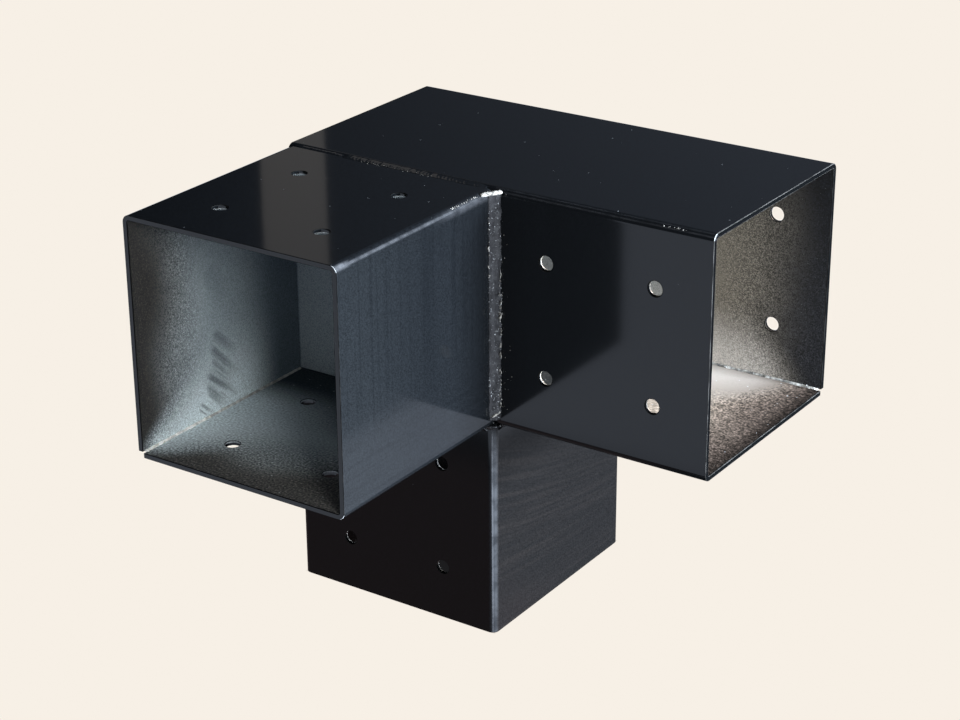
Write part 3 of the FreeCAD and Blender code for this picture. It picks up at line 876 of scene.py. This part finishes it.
def make_socket_paint():
    """One finish for the whole sheet: the paint outside, and steel under its mist inside."""
    material, shader, place = new_material("gloss_black_paint")
    right, back, upwards = xyz(node(place.tree, "ShaderNodeNewGeometry")["Normal"])
    space = use_group(inside_group, place, {"Upwards": upwards})
    within, cover, luck = colour_inside(place, upwards, space)
    outside, dull = colour_outside(place, upwards, luck)
    wiped = ramp(calc("MAXIMUM", right, back * -1.0), 0.7, 0.95, TOP_ROUGHNESS, WIPED_ROUGHNESS)
    peel = use_group(peel_group, place, PEEL)["Height"]
    bump = node(place.tree, "ShaderNodeBump", {"Height": peel, "Strength": 1.0, "Distance": 1.0})
    inside = space["Inside"]
    fill_all(shader, {
        "Base Color": mix(inside, outside, within),
        "Roughness": mix(inside, mix(dull, wiped, DULL_ROUGHNESS), STEEL_ROUGHNESS),
        "Metallic": inside * (1.0 - cover) * STEEL_METALLIC,
        "Normal": bump["Normal"],
        "IOR": 1.5,
        "Specular Tint": (0.94, 0.97, 1.0),
    })
    return material


socket_paint = make_socket_paint()
print("paint:", socket_paint.name, "with", len(socket_paint.node_tree.nodes), "nodes")

# %% [markdown]
# ## Edges and weld metal
# Paint draws thin over a sheared edge, and the edges get no gloss here, so their grey stands for the
# thin paint and for its highlight alike. At the corners of the mouths the paint came off in chips, and
# bare steel is painted there, partly for the chips and partly as painted highlight. Weld metal is rough,
# painted outside and bare inside. All of this could be masks in the one paint. But edges and beads are
# faces of their own, so each gets a small material, and the Bevel further down can put the edges' one on
# its new faces by itself.

# %% Edges with wear and painted highlight
CHIPS_AND_GLINTS = [
    (beam_high.x, beam_low.y, beam_high.z),
    (beam_high.x, beam_high.y, beam_low.z),
    (side_high.x, side_low.y, side_high.z),
    (side_low.x, side_low.y, side_low.z),
    (side_high.x, side_low.y, side_low.z),
]
CHIP_AND_GLINT_REACH = 2.6 * MM
EDGE_BLACK, EDGE_THIN_AND_GLINT_GREY, CHIP_AND_GLINT_STEEL = (0.0020, 0.0019, 0.0018), (0.0068, 0.0064, 0.0060), (0.30, 0.30, 0.30)
MOUTH_GLINT_PALER = 3.6


def make_edge_wear_and_glint():
    """Cut edges: thin paint and painted highlight in one grey, lighter round the beam's mouth, and bare
    steel at the corners of the mouths, partly for chips in the paint and partly as painted highlight.
    """
    material, shader, place = new_material("edge_wear_and_glint")
    x, y, z = xyz(place)
    chipped_and_glint = 0.0
    for corner in CHIPS_AND_GLINTS:
        close_by = ramp(vector_calc("DISTANCE", place, corner), CHIP_AND_GLINT_REACH / 2, CHIP_AND_GLINT_REACH, 1.0, 0.0)
        chipped_and_glint = calc("MAXIMUM", chipped_and_glint, close_by)
    # Painted highlight: the edges round the beam's mouth are made lighter.
    held = calc("MAXIMUM", z > beam_high.z - SKIN, y < beam_high.y - SKIN) * (x > beam_high.x - 1 * MM)
    wear = ramp(noise(place, 160.0, 3.0), 0.36, 0.62)
    thin = mix(wear, EDGE_BLACK, EDGE_THIN_AND_GLINT_GREY) * mix(held, 1.0, MOUTH_GLINT_PALER)
    fill_all(shader, {
        "Base Color": mix(chipped_and_glint, thin, CHIP_AND_GLINT_STEEL),
        "Metallic": chipped_and_glint * 0.5,
        "Roughness": 0.40,
        "Specular IOR Level": 0.0,
    })
    return material


edge_wear_and_glint = make_edge_wear_and_glint()
print("edges:", edge_wear_and_glint.name, "with", len(CHIPS_AND_GLINTS), "chipped corners")

# %% Painted and bare weld metal
WELD_BLACK, WELD_GREY = (0.0024, 0.0024, 0.0027), (0.0140, 0.0135, 0.0142)
WELD_CREST, WELD_GLINT = (0.0250, 0.0245, 0.0250), (0.130, 0.130, 0.130)
BARE_TINT = (1.04, 1.0, 0.94)
# Worn steel, made bright also as painted highlight.
WORN_LIT_DARK, WORN_LIT_LIGHT = (0.050, 0.046, 0.041), (0.200, 0.184, 0.164)
LUMPS_A_METRE = 420.0


def make_painted_weld():
    """The same black over a rough bead. It pulls thin over the crests and dulls in the pores."""
    material, shader, place = new_material("painted_weld")
    lumps = noise(place, LUMPS_A_METRE, 3.0)
    brushed = streaks(place, (900, 900, 60))
    black = mix(ramp(brushed, 0.35, 0.7), WELD_BLACK, WELD_GREY)
    thin = mix(ramp(lumps, 0.40, 0.72, 0.0, 0.62), black, WELD_CREST)
    glint = ramp(noise(place, 1300.0, 1.0), 0.67, 0.72)
    bump = node(place.tree, "ShaderNodeBump", {"Height": brushed, "Strength": 0.20, "Distance": 0.3 * MM})
    fill_all(shader, {
        "Base Color": mix(glint, thin, WELD_GLINT),
        "Roughness": ramp(lumps, 0.3, 0.7, 0.18, 0.30),
        "Normal": bump["Normal"],
    })
    return material


def make_bare_weld():
    """Weld metal with no paint: blank spots along a dull line, dimmer in the beam, and darker deeper
    inside as painted shade, so it is brightest near the mouth.
    """
    material, shader, place = new_material("inside_weld")
    space = use_group(inside_group, place, {})
    blank = ramp(noise(place, LUMPS_A_METRE, 4.0), 0.34, 0.72)
    grey = node(place.tree, "ShaderNodeRGBToBW", {"Color": space["Steel"]})["Val"]
    x, _, _ = xyz(place)
    dull = ramp(x, *BEAM_BEGINS, 1.5, 0.55)
    # Darker deeper inside: painted shade.
    worn = grey * mix(blank, dull, 3.2) * ramp(space["Depth"], 12 * MM, 65 * MM, 1.30, 0.60)
    fill_all(shader, {
        "Base Color": vector_calc("SCALE", BARE_TINT, scale=worn),
        "Roughness": ramp(blank, 0.0, 1.0, 0.55, 0.30),
        "Metallic": 0.3,
    })
    return material


def make_worn_and_lit_weld():
    """Paint worn down to the steel on lips and flecks that stand proud, made bright also as their painted
    highlight.
    """
    material, shader, place = new_material("worn_and_lit_weld")
    worn = ramp(noise(place, 900.0), 0.35, 0.65)
    fill_all(shader, {"Base Color": mix(worn, WORN_LIT_DARK, WORN_LIT_LIGHT), "Roughness": 0.35})
    return material


painted_weld = make_painted_weld()
bare_weld = make_bare_weld()
worn_and_lit_weld = make_worn_and_lit_weld()
print("welds:", painted_weld.name, bare_weld.name, worn_and_lit_weld.name)

# %% [markdown]
# ## Sockets
# The three sockets are already exact, but their edges are knife sharp, and a knife edge mirrors nothing.
# On the real sheet the shear and the drill leave a small round that glints. A copy of each solid is
# merged, its flat triangles are dissolved, and a Bevel of 0.3 mm rounds the edges. The bevel's own faces
# get the edges' finish: thin paint with its highlight painted in.

# %% Copies of the solids
MERGE = 0.001 * MM
FLAT_ANGLE = math.radians(0.5)


def plain_copy(node_name, name):
    """The solid's mesh as a new object, with its loose triangles joined and its flat faces whole."""
    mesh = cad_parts[node_name].data.copy()
    mesh.name = name
    if mesh.has_custom_normals:
        mesh.attributes.remove(mesh.attributes["custom_normal"])
    work = bmesh.new()
    work.from_mesh(mesh)
    bmesh.ops.remove_doubles(work, verts=work.verts, dist=MERGE)
    bmesh.ops.dissolve_limit(work, angle_limit=FLAT_ANGLE, verts=work.verts, edges=work.edges)
    for face in work.faces:
        face.smooth = True
    work.to_mesh(mesh)
    work.free()
    mesh.materials.clear()
    return add_object(name, mesh)


def freeze(piece):
    """Turn a piece with modifiers into a plain mesh."""
    graph = bpy.context.evaluated_depsgraph_get()
    ready = piece.evaluated_get(graph)
    mesh = bpy.data.meshes.new_from_object(ready, preserve_all_data_layers=True, depsgraph=graph)
    piece.modifiers.clear()
    piece.data = mesh
    return piece


print("copies are merged within", MERGE / MM, "mm")

# %% Sockets with rounded edges
EDGE_ROUND = 0.30 * MM
SHARP_ANGLE = math.radians(35)


def round_edges(piece):
    """Bevel the sharp edges, with the second material on the new faces."""
    bevel = piece.modifiers.new("edge_round", "BEVEL")
    bevel.width = EDGE_ROUND
    bevel.segments = 2
    bevel.limit_method = "ANGLE"
    bevel.angle_limit = SHARP_ANGLE
    bevel.harden_normals = True
    bevel.material = 1
    even = piece.modifiers.new("even_normals", "WEIGHTED_NORMAL")
    even.weight = 100
    return freeze(piece)


def hand_over(piece, slot, *replaced):
    """Fix a finished piece to the part's one body and hide the solids that it stands in for."""
    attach(piece, "root")
    if replaced:
        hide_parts(*replaced)
    print(piece.name, len(piece.data.polygons), "faces")


for node_name in ("beam_socket", "side_socket", "post_socket", "end_cap"):
    piece = plain_copy(node_name, node_name + "_sheet")
    piece.data.materials.append(socket_paint)
    piece.data.materials.append(edge_wear_and_glint)
    round_edges(piece)
    hand_over(piece, "gloss_black_paint", node_name)

# %% [markdown]
# ## Weld beads
# A welder ran a bead into each inner corner between the sockets and along the inside of each seam. A bead
# could be sculpted, but all of them follow one rule: a strip laid in a corner between two walls, whose
# edges wander and whose face is lumpy. That is work for Geometry Nodes. The tree starts from a plain tube
# and moves each point by its ring and its place round the ring. Most points of a ring span the open face
# from toe to toe, and the last two lie in the corner, a little inside the sheet, so the bead is closed.

# %% The bead tree
AROUND = 16
ON_FACE = AROUND - 2
OTHER_TOE = 7.3


def end_tree(given, result, shape):
    """Both trees end alike: instances made real, and one material."""
    whole = node(shape.tree, "GeometryNodeRealizeInstances", {"Geometry": shape})["Geometry"]
    finish = {"Geometry": whole, "Material": given["Material"]}
    fill(result["Mesh"], node(shape.tree, "GeometryNodeSetMaterial", finish)["Geometry"])


def make_bead_tree():
    """A bead from Start to End in the corner of two walls. Wall A and Wall B point along the walls."""
    inputs = {
        VECTOR: "Start, End, Wall A, Wall B",
        FLOAT: "Leg, Crown, Toe Wander, Lump, Lump Size, Ripple, Ripple Spacing, Sink, Taper, Seed",
        INTEGER: "Rings",
        MATERIAL: "Material",
    }
    tree, given, result = new_group("weld_bead", SHAPE, inputs, {GEOMETRY: "Mesh"})
    tube_sizes = {"Vertices": AROUND, "Side Segments": given["Rings"]}
    tube = node(tree, "GeometryNodeMeshCylinder", tube_sizes, fill_type="NGON")["Mesh"]
    index = node(tree, "GeometryNodeInputIndex")["Index"]
    step = calc("MODULO", index, AROUND)
    along = calc("FLOOR", index / AROUND) / given["Rings"]
    across = calc("DIVIDE", step, ON_FACE - 1, clamp=True)
    in_corner = step > ON_FACE - 0.5
    last = step > ON_FACE + 0.5

    run = given["End"] - given["Start"]
    length = vector_calc("LENGTH", run)
    travelled = along * length
    to_end = calc("MINIMUM", travelled, length - travelled)
    rounding = ramp(to_end, 0.0, given["Leg"], given["Taper"], 1.0)
    grain = 1.0 / given["Lump Size"]

    def wandering_toe(shift):
        swing = noise(from_xyz(X=travelled * grain, Y=given["Seed"] + shift), 1.0) - 0.5
        return given["Leg"] * (swing * (given["Toe Wander"] * 2.0) + 1.0) * rounding

    toe_a, toe_b = wandering_toe(0.0), wandering_toe(OTHER_TOE)
    sunk = given["Sink"] * -1.0
    reach_a = mix(in_corner, mix(across, toe_a, sunk), mix(last, sunk, toe_a * 0.25))
    reach_b = mix(in_corner, mix(across, sunk, toe_b), mix(last, toe_b * 0.25, sunk))

    arch = across * (1.0 - across) * 4.0 * (1.0 - in_corner)
    base = given["Start"] + run * along + given["Wall A"] * reach_a + given["Wall B"] * reach_b
    seeded = base + from_xyz(X=given["Seed"] * 0.1)
    lump = (noise(seeded, grain) - 0.5) * given["Lump"]
    bowed = arch * (given["Leg"] * 0.5) + travelled
    ripple = calc("SINE", bowed * math.tau / given["Ripple Spacing"]) * given["Ripple"]
    rough = (lump * 2.0 + ripple) * calc("POWER", arch, 0.5)
    rise = (arch * given["Crown"] + rough) * rounding
    outwards = vector_calc("NORMALIZE", given["Wall A"] + given["Wall B"])
    moves = {"Geometry": tube, "Position": base + outwards * rise}
    moved = node(tree, "GeometryNodeSetPosition", moves)["Geometry"]
    end_tree(given, result, node(tree, "GeometryNodeSetShadeSmooth", {"Geometry": moved})["Geometry"])
    return tree


bead_tree = make_bead_tree()
print(bead_tree.name, "has", len(bead_tree.nodes), "nodes")


# %% A piece from a tree
def grow(tree, name, values):
    """A new piece from a tree: set its inputs by their sockets, freeze it and turn its faces outwards."""
    piece = add_object(name, bpy.data.meshes.new(name))
    growth = piece.modifiers.new(tree.name, "NODES")
    growth.node_group = tree
    for item in tree.interface.items_tree:
        if item.in_out == "INPUT" and item.name in values:
            growth[item.identifier] = values[item.name]
    freeze(piece)
    work = bmesh.new()
    work.from_mesh(piece.data)
    bmesh.ops.recalc_face_normals(work, faces=work.faces)
    work.to_mesh(piece.data)
    work.free()
    return piece


print("a tree's result becomes a plain mesh")

# %% Beads
RIGHT, FRONT = (1.0, 0.0, 0.0), (0.0, -1.0, 0.0)
UP, DOWN = (0.0, 0.0, 1.0), (0.0, 0.0, -1.0)
RING_STEP = 0.45 * MM
FILLET = {
    "Leg": 3.5 * MM, "Crown": 0.15 * MM, "Toe Wander": 0.22, "Lump": 0.36 * MM, "Lump Size": 3.4 * MM,
    "Ripple": 0.015 * MM, "Ripple Spacing": 1.6 * MM, "Sink": 0.08 * MM, "Taper": 0.92,
    "Material": painted_weld,
}
SEAM = {
    "Leg": 0.75 * MM, "Crown": 0.12 * MM, "Toe Wander": 0.4, "Lump": 0.22 * MM, "Lump Size": 2.6 * MM,
    "Ripple": 0.01 * MM, "Ripple Spacing": 1.3 * MM, "Sink": 0.08 * MM, "Taper": 0.55,
    "Material": bare_weld,
}
BEADS = {
    "inner_corner": (FILLET, FRONT, RIGHT),
    "under_seam": (FILLET, FRONT, DOWN),
    "post_side": (FILLET, RIGHT, DOWN),
    "beam_seam": (SEAM, UP, FRONT),
    "side_seam": (SEAM, RIGHT, UP),
    "post_seam": (SEAM, RIGHT, FRONT),
}


def bead_line(node_name, wall_a, wall_b):
    """The corner that a solid bead lies in: the side of its box that both walls point away from."""
    low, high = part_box(node_name)
    outwards = Vector(wall_a) + Vector(wall_b)
    start = [low[i] if outwards[i] >= 0 else high[i] for i in range(3)]
    end = [high[i] if outwards[i] == 0 else start[i] for i in range(3)]
    return tuple(start), tuple(end)


def lay_bead(name, kind, start, end, wall_a, wall_b, seed):
    """One bead with a ring every half millimetre or so."""
    length = (Vector(end) - Vector(start)).length
    values = {**kind, "Start": start, "End": end, "Wall A": wall_a, "Wall B": wall_b, "Seed": seed}
    values["Rings"] = round(length / RING_STEP)
    return grow(bead_tree, name + "_bead", values)


for seed, (name, (kind, wall_a, wall_b)) in enumerate(BEADS.items()):
    start, end = bead_line(name + "_weld", wall_a, wall_b)
    bead = lay_bead(name, kind, start, end, wall_a, wall_b, float(seed))
    hand_over(bead, "painted_weld" if kind is FILLET else "inside_weld", name + "_weld")

# %% [markdown]
# ## Ends of the corner weld and the top seam
# At its top the corner weld ends in a rolled lip and at its foot in a small rim, both bright as worn
# steel with their highlight painted in, and a knob of weld sits on the post's fold. The seam on top was
# ground flush and painted over: on the left two thin grooves are left beside it. The same tree lays all
# of them. Only the corner line and the two wall directions differ, and for the flush seam the walls lean
# so that the bead's face lies level with the tops.

# %% Small beads
def near(corner, shift):
    """A place a few millimetres away from a corner."""
    return tuple(Vector(corner) + Vector(shift) * MM)


TOP_CORNER = (side_high.x, beam_low.y, side_high.z)
FOOT_CORNER = (post_high.x, post_low.y, beam_low.z)
SEAM_LEFT = (beam_low.x, beam_low.y, beam_high.z)
ROUND_CORNER = (DIAGONAL, -DIAGONAL, 0.0)
LIP = {
    **SEAM, "Leg": 0.85 * MM, "Crown": 0.35 * MM, "Toe Wander": 0.30, "Lump": 0.30 * MM, "Sink": 0.4 * MM,
    "Material": worn_and_lit_weld,
}
FOOT = {**LIP, "Leg": 0.45 * MM, "Crown": 0.2 * MM}
KNOB = {**FILLET, "Leg": 2.2 * MM, "Crown": 0.5 * MM, "Lump": 0.5 * MM, "Taper": 0.55}
FLUSH = {**FILLET, "Crown": 0.02 * MM, "Toe Wander": 0.04, "Lump": 0.03 * MM, "Material": socket_paint}
GROOVED = {**FLUSH, "Crown": 0.20 * MM, "Lump": 0.08 * MM}
# Each small bead: its kind, the corner it lies at, its two ends from there in millimetres, its two walls.
SMALL_BEADS = {
    "corner_lip": (LIP, TOP_CORNER, (-1.0, -7.2, -0.6), (4.2, -0.5, -0.2), (0.82, -0.57, 0.0), UP),
    "corner_rim": (FOOT, FOOT_CORNER, (0.8, -2.9, 4.8), (3.2, -0.3, 6.6), ROUND_CORNER, UP),
    "corner_knob": (KNOB, FOOT_CORNER, (-3.4, -1.0, -0.6), (1.0, 3.4, -0.6), ROUND_CORNER, DOWN),
    "top_seam": (FLUSH, SEAM_LEFT, (25, 0.1, -3.0), (92.5, 0.1, -3.0), (0, 0.78, 0.855), (0, -0.36, 0.738)),
    "top_seam_left": (GROOVED, SEAM_LEFT, (3, 0.1, -3.0), (28, 0.1, -3.0), (0, 0.70, 0.79), (0, -0.21, 0.70)),
}
SMALL_SLOTS = {"corner_lip": "inside_weld", "corner_rim": "inside_weld", "corner_knob": "painted_weld"}
SMALL_SOLIDS = {"top_seam": ["top_seam_weld"]}
FIRST_SMALL_SEED = 20.0
for seed, (name, (kind, corner, start, end, wall_a, wall_b)) in enumerate(SMALL_BEADS.items()):
    ends = near(corner, start), near(corner, end)
    bead = lay_bead(name, kind, *ends, wall_a, wall_b, FIRST_SMALL_SEED + seed)
    hand_over(bead, SMALL_SLOTS.get(name, "gloss_black_paint"), *SMALL_SOLIDS.get(name, []))

# %% [markdown]
# ## Welds at the back
# Two welds keep the solids' own shape: the one in the open corner between the post socket and the beam
# socket, and the one round the end plate. They could be grown as beads too, but both are ground smooth, so
# only their finish is set.

# %% Back welds
for name in ("post_back_weld", "end_cap_weld"):
    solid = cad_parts[name]
    solid.data.materials.clear()
    solid.data.materials.append(socket_paint)
    print(name, "stays as it is, with", socket_paint.name)

# %% [markdown]
# ## Spatter
# Welding throws small beads of steel. They stuck along the toes of the corner weld, on the walls beside it
# and on the folds, and the paint wore off them. Each is a bright fleck: worn steel with its highlight
# painted in. They could be placed by hand, but one tree scatters them all: points between a start and an
# end, moved a little sideways, each with a twenty-sided ball on it.

# %% The spatter tree
def chance(low, high, seed):
    """A random number, or a random vector if the bounds are vectors."""
    kind, first, result = ("FLOAT_VECTOR", 0, 0) if isinstance(low, tuple) else ("FLOAT", 2, 1)
    inputs = {first: low, first + 1: high, "Seed": seed}
    return node(seed.tree, "FunctionNodeRandomValue", inputs, data_type=kind)[result]


def make_spatter_tree():
    """Flecks strewn between Start and End. Stretch draws each ball out along x, y and z."""
    inputs = {
        VECTOR: "Start, End, Jitter, Stretch",
        INTEGER: "Count, Seed",
        FLOAT: "Smallest, Largest",
        MATERIAL: "Material",
    }
    tree, given, result = new_group("weld_spatter", SHAPE, inputs, {GEOMETRY: "Mesh"})
    along_seed, aside_seed, size_seed = (given["Seed"] + step for step in (0, 100, 200))
    along = (given["End"] - given["Start"]) * chance(0.0, 1.0, along_seed)
    aside = chance((-1, -1, -1), (1, 1, 1), aside_seed) * given["Jitter"]
    place = given["Start"] + along + aside
    points = node(tree, "GeometryNodePoints", {"Count": given["Count"], "Position": place})[0]
    ball = node(tree, "GeometryNodeMeshIcoSphere", {"Radius": 1.0, "Subdivisions": 1})["Mesh"]
    smooth = node(tree, "GeometryNodeSetShadeSmooth", {"Geometry": ball})["Geometry"]
    scale = given["Stretch"] * chance(given["Smallest"], given["Largest"], size_seed)
    copies = {"Points": points, "Instance": smooth, "Scale": scale}
    end_tree(given, result, node(tree, "GeometryNodeInstanceOnPoints", copies)["Instances"])
    return tree


spatter_tree = make_spatter_tree()
print(spatter_tree.name, "has", len(spatter_tree.nodes), "nodes")

# %% Spatter
TALL, WIDE, BALL = (0.7, 0.7, 2.6), (3.4, 0.6, 0.35), (1.0, 1.0, 0.9)
WALL_CORNER = (side_high.x, beam_low.y, beam_low.z)
SEAM_FOOT = tuple(side_low)
BEAM_FOOT = (beam_high.x, beam_high.y, beam_low.z)
BEAM_CORNER = (beam_high.x, beam_low.y, beam_high.z)
ON_SEAMS = ("side_mouth", "side_run", "beam_run")
# Each strip of flecks: the corner it lies at, its two ends from there and its spread sideways in
# millimetres, the number of flecks, their smallest and largest radius in millimetres, and their form.
SPATTER = {
    "left_toe": (WALL_CORNER, (0.4, -3.7, 88), (0.4, -3.7, 62), (0.1, 0.3, 0), 15, 0.22, 0.42, BALL),
    "right_toe": (WALL_CORNER, (3.4, -0.6, 64), (3.4, -0.6, 6), (0.4, 0.2, 0), 40, 0.18, 0.40, TALL),
    "lump": (WALL_CORNER, (3.8, -0.5, 48), (3.2, -0.9, 45), (0.3, 0.1, 0.8), 6, 0.40, 0.75, BALL),
    "front_wall": (WALL_CORNER, (5.5, 0, 90), (5.5, 0, 8), (2.8, 0, 0), 26, 0.10, 0.19, BALL),
    "fold": (TOP_CORNER, (-1.1, -8, -0.6), (-1.2, -26, -0.5), (0.4, 0, 0.4), 30, 0.10, 0.26, BALL),
    "patch": (TOP_CORNER, (-1.3, -23, -0.5), (-1.3, -25, -0.5), (0.4, 0.3, 0.3), 9, 0.18, 0.34, BALL),
    "top_seam": (SEAM_LEFT, (34, -1.0, -0.35), (70, -1.0, -0.35), (0, 1.0, 0.05), 22, 0.09, 0.16, WIDE),
    "side_mouth": (SEAM_FOOT, (2.3, 1, 2.3), (2.3, 16, 2.3), (0.3, 0, 0.3), 16, 0.25, 0.60, BALL),
    "side_run": (SEAM_FOOT, (2.5, 33, 2.4), (2.5, 41, 2.4), (0.4, 0, 0.3), 9, 0.25, 0.50, BALL),
    "beam_run": (BEAM_FOOT, (-47, -2.4, 2.4), (-2, -2.4, 2.4), (0, 0.4, 0.3), 30, 0.15, 0.38, BALL),
    "beam_fold": (BEAM_CORNER, (-25, 0.7, -0.8), (-10, 0.7, -0.8), (0, 0.4, 0.2), 12, 0.14, 0.30, BALL),
}
for seed, (name, (corner, start, end, jitter, count, smallest, largest, form)) in enumerate(SPATTER.items()):
    flecks = grow(spatter_tree, name + "_spatter", {
        "Start": near(corner, start), "End": near(corner, end), "Jitter": tuple(Vector(jitter) * MM),
        "Count": count, "Seed": seed, "Smallest": smallest * MM, "Largest": largest * MM, "Stretch": form,
        "Material": bare_weld if name in ON_SEAMS else worn_and_lit_weld,
    })
    hand_over(flecks, "inside_weld")
